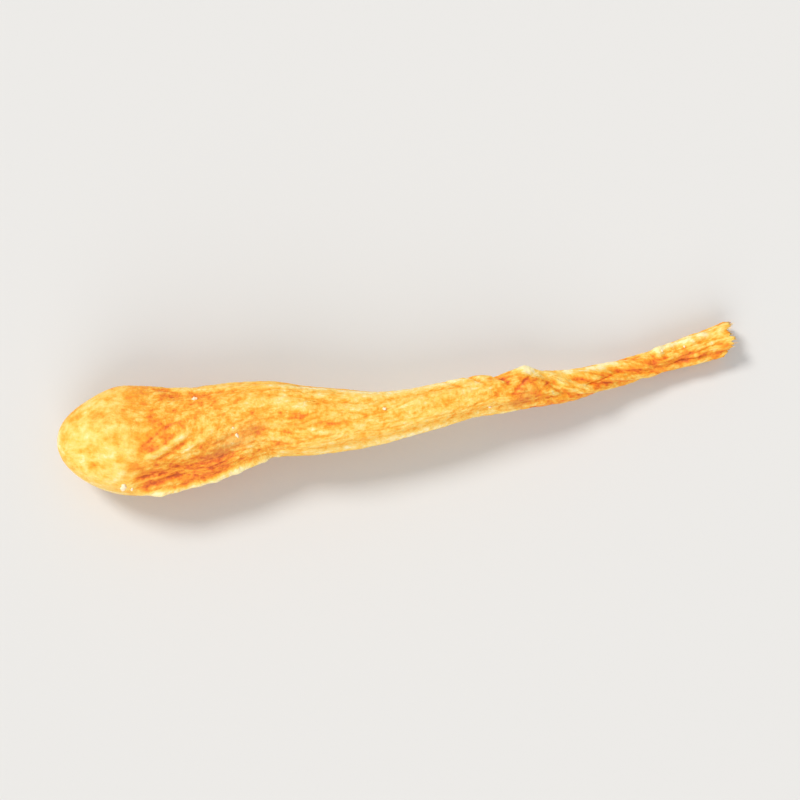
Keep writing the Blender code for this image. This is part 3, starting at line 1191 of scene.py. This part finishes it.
@dataclass
class TornFibres:
    """Short frayed fibres round the torn rim."""

    skin: FruitingBody
    count: int = 70
    shortest: float = 0.08
    longest: float = 0.50
    rarity_of_long_ones: float = 2.5
    thickness: float = 0.042
    thickness_shares: tuple[float, float] = (0.5, 1.2)
    behind_rim: float = 0.10
    depths_in_skin: tuple[float, float] = (-0.22, -0.04)
    most_splay: float = 0.35
    most_curl: float = 0.45
    seed: int = 11

    def one_fibre(self) -> bpy.types.Object:
        """Models one fibre.

        Returns:
            A cone of unit length and radius along +X, divided along its length so that it can curl.
        """
        deselect_all()
        bpy.ops.mesh.primitive_cone_add(
            vertices=6,
            radius1=1.0,
            radius2=0.2,
            depth=1.0,
            location=(0.5, 0, 0),
            rotation=(0, math.pi / 2, 0),
        )
        fibre = bpy.context.active_object
        bpy.ops.object.transform_apply(location=True, rotation=True, scale=True)
        bpy.ops.object.mode_set(mode="EDIT")
        for cut in (0.25, 0.5, 0.75):
            bpy.ops.mesh.select_all(action="SELECT")
            bpy.ops.mesh.bisect(plane_co=(cut, 0, 0), plane_no=(1, 0, 0))
        bpy.ops.object.mode_set(mode="OBJECT")
        return fibre

    def build(self) -> bpy.types.Object:
        """Copies the fibre round the rim.

        Returns:
            The fibres, joined into one object.
        """
        model = self.one_fibre()
        chance = np.random.default_rng(self.seed)
        angles = chance.uniform(0, 2 * np.pi, self.count)
        along = np.full(self.count, self.skin.line.length - self.behind_rim)
        places = self.skin.places_at(along, np.cos(angles), np.sin(angles))
        raised = self.skin.relief.large(places) + self.skin.relief.fine(places)
        roots = self.skin.bent(places, raised + chance.uniform(*self.depths_in_skin, self.count))
        roots[:, 0] += self.skin.torn_rim(places)
        copies = []
        for root, angle in zip(roots, angles):
            share = chance.uniform() ** self.rarity_of_long_ones
            length = self.shortest + (self.longest - self.shortest) * share
            thickness = self.thickness * chance.uniform(*self.thickness_shares)
            splay = chance.uniform(-self.most_splay, self.most_splay)
            way = Vector((1.0, splay * math.cos(angle), splay * math.sin(angle))).normalized()
            curl = Vector((0.0, *chance.uniform(-self.most_curl, self.most_curl, 2))) * length
            turn = way.to_track_quat("X", "Z")
            copy = copy_of(model)
            for vertex in copy.data.vertices:
                x, y, z = vertex.co
                bent = turn @ Vector((x * length, y * thickness, z * thickness)) + curl * x**2
                vertex.co = (Vector(root) + bent) * MM
                vertex.co.z = max(vertex.co.z, 0.0)
            copies.append(copy)
        bpy.data.objects.remove(model)
        return join_pieces(copies, "torn_fibres")


@dataclass(frozen=True)
class Speck:
    """A near-white speck on the skin: its place and its length, in millimetres."""

    along: float
    angle: float
    length: float


@dataclass
class CrumbsAndGlints:
    """Tiny pale specks on the skin, partly crumbs of broken flesh and partly painted glints."""

    skin: FruitingBody
    crumbs: tuple[Speck, ...] = (
        Speck(4.2, 152, 0.48),
        Speck(4.6, 157, 0.22),
        Speck(8.75, 48, 0.30),
        Speck(10.75, 98, 0.14),
        Speck(10.85, 109, 0.26),
        Speck(19.6, 81, 0.22),
        Speck(25.8, 136, 0.16),
        Speck(36.9, 66, 0.16),
        Speck(38.3, 78, 0.14),
    )
    flatness: tuple[float, float, float] = (1.0, 0.68, 0.5)
    lump_width: float = 0.34
    lump_height: float = 0.75
    lift: float = 0.12
    seed: int = 5

    def one_speck(self) -> bpy.types.Object:
        """Models one speck.

        Returns:
            A smooth, slightly flat speck of unit length.
        """
        deselect_all()
        bpy.ops.mesh.primitive_ico_sphere_add(subdivisions=4, radius=0.5, location=(0, 0, 0))
        speck = bpy.context.active_object
        bpy.ops.object.mode_set(mode="EDIT")
        bpy.ops.mesh.select_all(action="SELECT")
        bpy.ops.transform.resize(value=self.flatness, center_override=(0, 0, 0))
        bpy.ops.object.mode_set(mode="OBJECT")
        return speck

    def build(self) -> bpy.types.Object:
        """Copies the speck to its places, each roughened in its own way.

        Returns:
            The specks, joined into one object.
        """
        model = self.one_speck()
        chance = np.random.default_rng(self.seed)
        along = np.array([speck.along for speck in self.crumbs])
        angles = np.radians([speck.angle for speck in self.crumbs])
        # The straight body's points are given on an ellipse, so that their angle comes out as asked
        sections = self.skin.line.sections(along)
        places = self.skin.places_at(along, sections[:, 3] * np.cos(angles), sections[:, 4] * np.sin(angles))
        raised = self.skin.relief.large(places) + self.skin.relief.fine(places)
        roots = self.skin.bent(places, raised)
        small_step = 0.1
        tops = self.skin.bent(places, raised + small_step)
        copies = []
        for speck, root, top in zip(self.crumbs, roots, tops):
            outward = Vector(top - root).normalized()
            turn = outward.to_track_quat("Z", "X") @ Quaternion((0, 0, 1), chance.uniform(0, math.pi))
            copy = copy_of(model)
            for vertex in copy.data.vertices:
                lump = noise.noise(vertex.co / self.lump_width + Vector((speck.along, 0, 0)))
                shaped = vertex.co * (1 + self.lump_height * lump) * speck.length
                vertex.co = (Vector(root) + turn @ shaped + outward * self.lift * speck.length) * MM
            copies.append(copy)
        bpy.data.objects.remove(model)
        return join_pieces(copies, "pale_crumbs")


def add_node(
    tree: bpy.types.NodeTree,
    kind: str,
    inputs: Mapping[str | int, object] | None = None,
    output: str | int = 0,
    stops: Sequence[tuple[float, str]] = (),
    **settings: object,
) -> bpy.types.NodeSocket | None:
    """Adds a node with its settings and links.

    Args:
        tree: the material's node tree.
        kind: the node's type, without the ShaderNode at its start.
        inputs: for each input, a socket to link to it or a value to set.
        output: which of its outputs to give back.
        stops: the places and hex colours of a colour ramp, in rising order.
        settings: properties of the node itself.

    Returns:
        The output, if the node has any.
    """
    node = tree.nodes.new("ShaderNode" + kind)
    for name, value in settings.items():
        setattr(node, name, value)
    for name, value in (inputs or {}).items():
        if isinstance(value, bpy.types.NodeSocket):
            tree.links.new(value, node.inputs[name])
        else:
            node.inputs[name].default_value = value
    if stops:
        elements = node.color_ramp.elements
        ends = (elements[0], elements[1])
        for element, (place, colour) in zip(ends, (stops[0], stops[-1])):
            element.position, element.color = place, linear(colour)
        for place, colour in stops[1:-1]:
            elements.new(place).color = linear(colour)
    return node.outputs[output] if node.outputs else None


def new_material(name: str) -> tuple[bpy.types.Material, bpy.types.NodeTree]:
    """Makes an empty material.

    Args:
        name: the material's name.

    Returns:
        The material and its node tree.
    """
    material = bpy.data.materials.new(name)
    material.use_nodes = True
    material.node_tree.nodes.clear()
    return material, material.node_tree


@dataclass(frozen=True)
class GrainPattern:
    """A noise in the skin's colour.

    Its lumps are width millimetres wide and stretch times longer. What the points of the skin keep under
    the name in shown_by scales its strength.
    """

    name: str
    width: float
    stretch: float
    detail: float
    strength: float
    shown_by: str


@dataclass(frozen=True)
class DriedSkin:
    """Air-dried fungus skin: thin, leathery and finely crinkled.

    Its crests are painted paler and its valleys darker than its own tone, as painted highlight and painted
    shade on its relief.
    It is satin rather than glossy, and thin enough for a little light to pass under it.
    """

    # The palest colours are partly bleached skin and partly painted highlight on crests and edges; the
    # crevice colour is painted shade
    bleach_and_highlight: str = "#FFEBAE"
    crest: str = "#FFD676"
    pale: str = "#FEC856"
    gold: str = "#FCA824"
    orange: str = "#F58A16"
    burnt: str = "#E86A0C"
    crevice: str = "#CC580C"
    # A greyish tan painted shade, laid on in spots
    bruise: str = "#CC7F3C"
    shade_spot_strength: float = 1.4
    sheen: str = "#FFE9B8"
    roughness_low: float = 0.46
    roughness_high: float = 0.66
    ior: float = 1.45

    # The scorching of the skin in patches, the pigment in specks, and the fibres that it dried round
    patterns: tuple[GrainPattern, ...] = (
        GrainPattern("cloud", 1.10, 1.3, 2.0, 0.90, "mottling"),
        GrainPattern("blotch", 0.46, 1.5, 3.0, 1.20, "mottling"),
        GrainPattern("speckle", 0.17, 1.4, 2.0, 0.75, "graininess"),
        GrainPattern("fibre", 0.09, 5.0, 2.0, 0.40, "graininess"),
    )

    # Painted highlight and shade: how much paler a wrinkle's or crinkle's crest is and darker its valley, and
    # how far the palest crests go under 0
    wrinkle_painted_light: float = 0.16
    crinkle_painted_light: float = 0.20
    palest: float = -0.3

    # How far the specks and fibres stand out of the skin, in millimetres
    speckle_height: float = 0.10
    fibre_height: float = 0.05

    def lay(self, tree: bpy.types.NodeTree, grain: bpy.types.NodeSocket) -> dict[str, bpy.types.NodeSocket]:
        """Lays the patterns along the grain, each longer along it than across it.

        Args:
            tree: the material's node tree.
            grain: the place of each point with its grain laid straight.

        Returns:
            The patterns by their names.
        """
        laid = {}
        for pattern in self.patterns:
            across = 1 / (pattern.width * MM)
            scale = (across / pattern.stretch, across, across)
            place = add_node(tree, "Mapping", {"Vector": grain, "Scale": scale})
            inputs = {"Vector": place, "Scale": 1.0, "Detail": pattern.detail, "Roughness": 0.55}
            laid[pattern.name] = add_node(tree, "TexNoise", inputs)
        return laid

    def colour(
        self,
        tree: bpy.types.NodeTree,
        kept: Mapping[str, bpy.types.NodeSocket],
        laid: Mapping[str, bpy.types.NodeSocket],
    ) -> bpy.types.NodeSocket:
        """Colours the skin by how orange it is, from 0, the palest, partly bleached and partly painted
        highlight, to 1, a crevice in painted shade.

        Args:
            tree: the material's node tree.
            kept: what the points of the skin keep, by name.
            laid: the patterns, by name.

        Returns:
            The colour.
        """
        depth = kept["tone"]
        for pattern in self.patterns:
            swing = add_node(tree, "Math", {0: laid[pattern.name], 1: 0.5}, operation="SUBTRACT")
            swing = add_node(tree, "Math", {0: swing, 1: kept[pattern.shown_by]}, operation="MULTIPLY")
            inputs = {0: swing, 1: pattern.strength, 2: depth}
            depth = add_node(tree, "Math", inputs, operation="MULTIPLY_ADD")
        # Painted highlight on the crests of the wrinkles and crinkles, and painted shade in their valleys
        for name, paleness in (("wrinkle", self.wrinkle_painted_light), ("crinkle", self.crinkle_painted_light)):
            depth = add_node(tree, "Math", {0: kept[name], 1: -paleness, 2: depth}, operation="MULTIPLY_ADD")
        # The ramp starts under 0, so that the palest crests aren't cut off flat
        depth = add_node(tree, "MapRange", {"Value": depth, "From Min": self.palest, "From Max": 1.0})
        stops = (
            (0.0, self.bleach_and_highlight),
            (0.20, self.crest),
            (0.36, self.pale),
            (0.56, self.gold),
            (0.73, self.orange),
            (0.88, self.burnt),
            (1.0, self.crevice),
        )
        skin = add_node(tree, "ValToRGB", {"Fac": depth}, "Color", stops)
        # Painted shade: the greyish tan spots, broken up by the blotches
        spot_shading = add_node(tree, "Math", {0: kept["bruise"], 1: laid["blotch"]}, operation="MULTIPLY")
        spot_shading = add_node(
            tree, "Math", {0: spot_shading, 1: self.shade_spot_strength}, operation="MULTIPLY", use_clamp=True
        )
        # A colour mix has its two colours in the inputs 6 and 7, and gives the result in output 2
        inputs = {"Factor": spot_shading, 6: skin, 7: linear(self.bruise)}
        return add_node(tree, "Mix", inputs, 2, data_type="RGBA")

    def material(self) -> bpy.types.Material:
        """Builds the material.

        Returns:
            The material, which reads what FruitingBody.sculpt keeps on the points of the skin.
        """
        material, tree = new_material("dried_fungus_skin")
        kept = {"grain": add_node(tree, "Attribute", output="Vector", attribute_name="grain")}
        for name in ("crinkle", "wrinkle", "mottling", "graininess", "tone", "bruise"):
            kept[name] = add_node(tree, "Attribute", output="Fac", attribute_name=name)
        laid = self.lay(tree, kept["grain"])
        colour = self.colour(tree, kept, laid)
        roughness = add_node(
            tree,
            "MapRange",
            {
                "Value": laid["blotch"],
                "From Min": 0.3,
                "From Max": 0.7,
                "To Min": self.roughness_low,
                "To Max": self.roughness_high,
            },
        )
        specks = {"Height": laid["speckle"], "Strength": 0.8, "Distance": self.speckle_height * MM}
        speckled = add_node(tree, "Bump", specks)
        fibres = {"Height": laid["fibre"], "Strength": 0.7, "Distance": self.fibre_height * MM}
        normal = add_node(tree, "Bump", {**fibres, "Normal": speckled})
        shader = add_node(
            tree,
            "BsdfPrincipled",
            {
                "Base Color": colour,
                "Roughness": roughness,
                "IOR": self.ior,
                "Normal": normal,
                "Subsurface Weight": 0.10,
                "Subsurface Radius": (1.0, 0.42, 0.14),
                "Subsurface Scale": 0.32 * MM,
                "Sheen Weight": 0.26,
                "Sheen Roughness": 0.20,
                "Sheen Tint": linear(self.sheen),
            },
        )
        add_node(tree, "OutputMaterial", {"Surface": shader})
        return material


@dataclass(frozen=True)
class TornFlesh:
    """The dry, cottony flesh inside the stem, where it was torn: paler and rougher than the skin."""

    pale: str = "#FFE4A8"
    shaded: str = "#F7AC50"
    roughness: float = 0.85
    ior: float = 1.45
    bundle_width: float = 0.12
    bundle_height: float = 0.04

    def material(self) -> bpy.types.Material:
        """Builds the material.

        Returns:
            The material, with its bundles of fibres drawn as a mottled, bumpy noise.
        """
        material, tree = new_material("torn_dry_flesh")
        place = add_node(tree, "TexCoord", output="Object")
        scale = 1 / self.bundle_width / MM
        bundles = add_node(tree, "TexNoise", {"Vector": place, "Scale": scale, "Detail": 3.0})
        stops = ((0.35, self.shaded), (0.62, self.pale))
        colour = add_node(tree, "ValToRGB", {"Fac": bundles}, "Color", stops)
        height = self.bundle_height * MM
        bump = add_node(tree, "Bump", {"Height": bundles, "Strength": 0.5, "Distance": height})
        shader = add_node(
            tree,
            "BsdfPrincipled",
            {
                "Base Color": colour,
                "Roughness": self.roughness,
                "IOR": self.ior,
                "Subsurface Weight": 0.25,
                "Subsurface Radius": (1.0, 0.60, 0.30),
                "Subsurface Scale": 0.30 * MM,
                "Normal": bump,
            },
        )
        add_node(tree, "OutputMaterial", {"Surface": shader})
        return material


@dataclass(frozen=True)
class CrumbAndGlintWhite:
    """Nearly white and quite matte: dry crumbs, and painted glints."""

    colour: str = "#FBE6C0"
    roughness: float = 0.8
    ior: float = 1.45

    def material(self) -> bpy.types.Material:
        """Builds the material.

        Returns:
            The material, in one even colour.
        """
        material, tree = new_material("dry_crumb")
        inputs = {"Base Color": linear(self.colour), "Roughness": self.roughness, "IOR": self.ior}
        shader = add_node(tree, "BsdfPrincipled", inputs)
        add_node(tree, "OutputMaterial", {"Surface": shader})
        return material


@dataclass(frozen=True)
class StudioFloor:
    """Matte, warm white board."""

    colour: str = "#D9D7D3"
    roughness: float = 0.9

    def material(self) -> bpy.types.Material:
        """Builds the material.

        Returns:
            The material, in one even colour.
        """
        material, tree = new_material("matte_white_board")
        inputs = {"Base Color": linear(self.colour), "Roughness": self.roughness}
        shader = add_node(tree, "BsdfPrincipled", inputs)
        add_node(tree, "OutputMaterial", {"Surface": shader})
        return material


@dataclass(frozen=True)
class SoftLight:
    """A distant soft light: its strength, how wide it looks, and where it stands, in degrees."""

    name: str
    strength: float
    width: float
    azimuth: float
    elevation: float

    def build(self) -> None:
        """Adds the light to the scene."""
        data = bpy.data.lights.new(self.name, "SUN")
        data.energy = self.strength
        data.angle = math.radians(self.width)
        lamp = bpy.data.objects.new(self.name, data)
        inward = -direction(self.azimuth, self.elevation)
        lamp.rotation_euler = inward.to_track_quat("-Z", "Y").to_euler()
        bpy.context.scene.collection.objects.link(lamp)


def direction(azimuth: float, elevation: float) -> Vector:
    """Works out the way from the piece to a place round it.

    Args:
        azimuth: the place's turn round the piece in degrees, where 0 is at -Y and 90 at +X.
        elevation: how far up it is seen, in degrees.

    Returns:
        A direction of length 1.
    """
    turn, rise = math.radians(azimuth), math.radians(elevation)
    return Vector((math.sin(turn) * math.cos(rise), -math.cos(turn) * math.cos(rise), math.sin(rise)))


@dataclass
class Studio:
    """The floor, the soft lights and the camera."""

    azimuth: float = -9.0
    elevation: float = 80.0
    lens: float = 85.0
    sensor: float = 36.0
    share_of_frame: float = 0.86
    floor_half: float = 1.2
    floor_gap: float = 0.00003
    lights: tuple[SoftLight, ...] = (
        SoftLight("key_light", 2.0, 18.0, 224.0, 47.0),
        SoftLight("fill_light", 1.35, 50.0, -15.0, 34.0),
    )
    surround: float = 0.54
    surround_colour: str = "#F7F8FB"

    def floor(self) -> None:
        """Lays the floor just under the piece."""
        deselect_all()
        bpy.ops.mesh.primitive_plane_add(size=2 * self.floor_half, location=(0, 0, -self.floor_gap))
        board = bpy.context.active_object
        board.name = board.data.name = "floor"
        bpy.ops.object.transform_apply(location=True, rotation=True, scale=True)
        board.data.materials.append(StudioFloor().material())

    def camera(self, low: Vector, high: Vector) -> None:
        """Puts the camera where the photograph was taken from, looking down at the piece.

        Args:
            low: the lowest corner of the piece's box.
            high: its highest corner.
        """
        centre = (low + high) / 2
        back = direction(self.azimuth, self.elevation)
        data = bpy.data.cameras.new("camera")
        data.lens = self.lens
        data.sensor_width = self.sensor
        data.dof.use_dof = False
        data.clip_start = 0.005
        data.clip_end = 5.0
        width = (high.x - low.x) / self.share_of_frame
        distance = width * self.lens / self.sensor
        holder = bpy.data.objects.new("camera", data)
        holder.location = centre + back * distance
        holder.rotation_euler = (-back).to_track_quat("-Z", "Y").to_euler()
        bpy.context.scene.collection.objects.link(holder)
        bpy.context.scene.camera = holder

    def world(self) -> None:
        """Fills the shadows with an even, pale surround."""
        world = bpy.data.worlds.new("surround")
        world.use_nodes = True
        background = world.node_tree.nodes["Background"]
        background.inputs["Color"].default_value = linear(self.surround_colour)
        background.inputs["Strength"].default_value = self.surround
        bpy.context.scene.world = world

    def build(self, low: Vector, high: Vector) -> None:
        """Sets the whole studio round the piece.

        Args:
            low: the lowest corner of the piece's box.
            high: its highest corner.
        """
        self.floor()
        for light in self.lights:
            light.build()
        self.camera(low, high)
        self.world()
        bpy.context.scene.view_settings.view_transform = "Standard"


def dress(piece: bpy.types.Object, materials: Sequence[bpy.types.Material]) -> None:
    """Gives a finished piece its materials, and tells the frame what it stands for.

    Args:
        piece: the finished piece.
        materials: its materials, in the order of its material slots.
    """
    for material in materials:
        piece.data.materials.append(material)
    for face in piece.data.polygons:
        face.use_smooth = True
    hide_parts(NODE)
    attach(piece, BODY)
    log.info("%s: %d faces", piece.name, len(piece.data.polygons))


def main() -> None:
    """Builds every piece in order, then the studio."""
    logging.basicConfig(level=logging.INFO, format="%(name)s: %(message)s")
    skin = DriedSkin().material()
    flesh = TornFlesh().material()
    maker = FruitingBody()
    body = maker.build()
    TornButt().close(body)
    dress(body, (skin, flesh))
    dress(TornFibres(maker).build(), (flesh,))
    dress(CrumbsAndGlints(maker).build(), (CrumbAndGlintWhite().material(),))
    Studio().build(*cad_bounds)


if __name__ == "__main__":
    main()
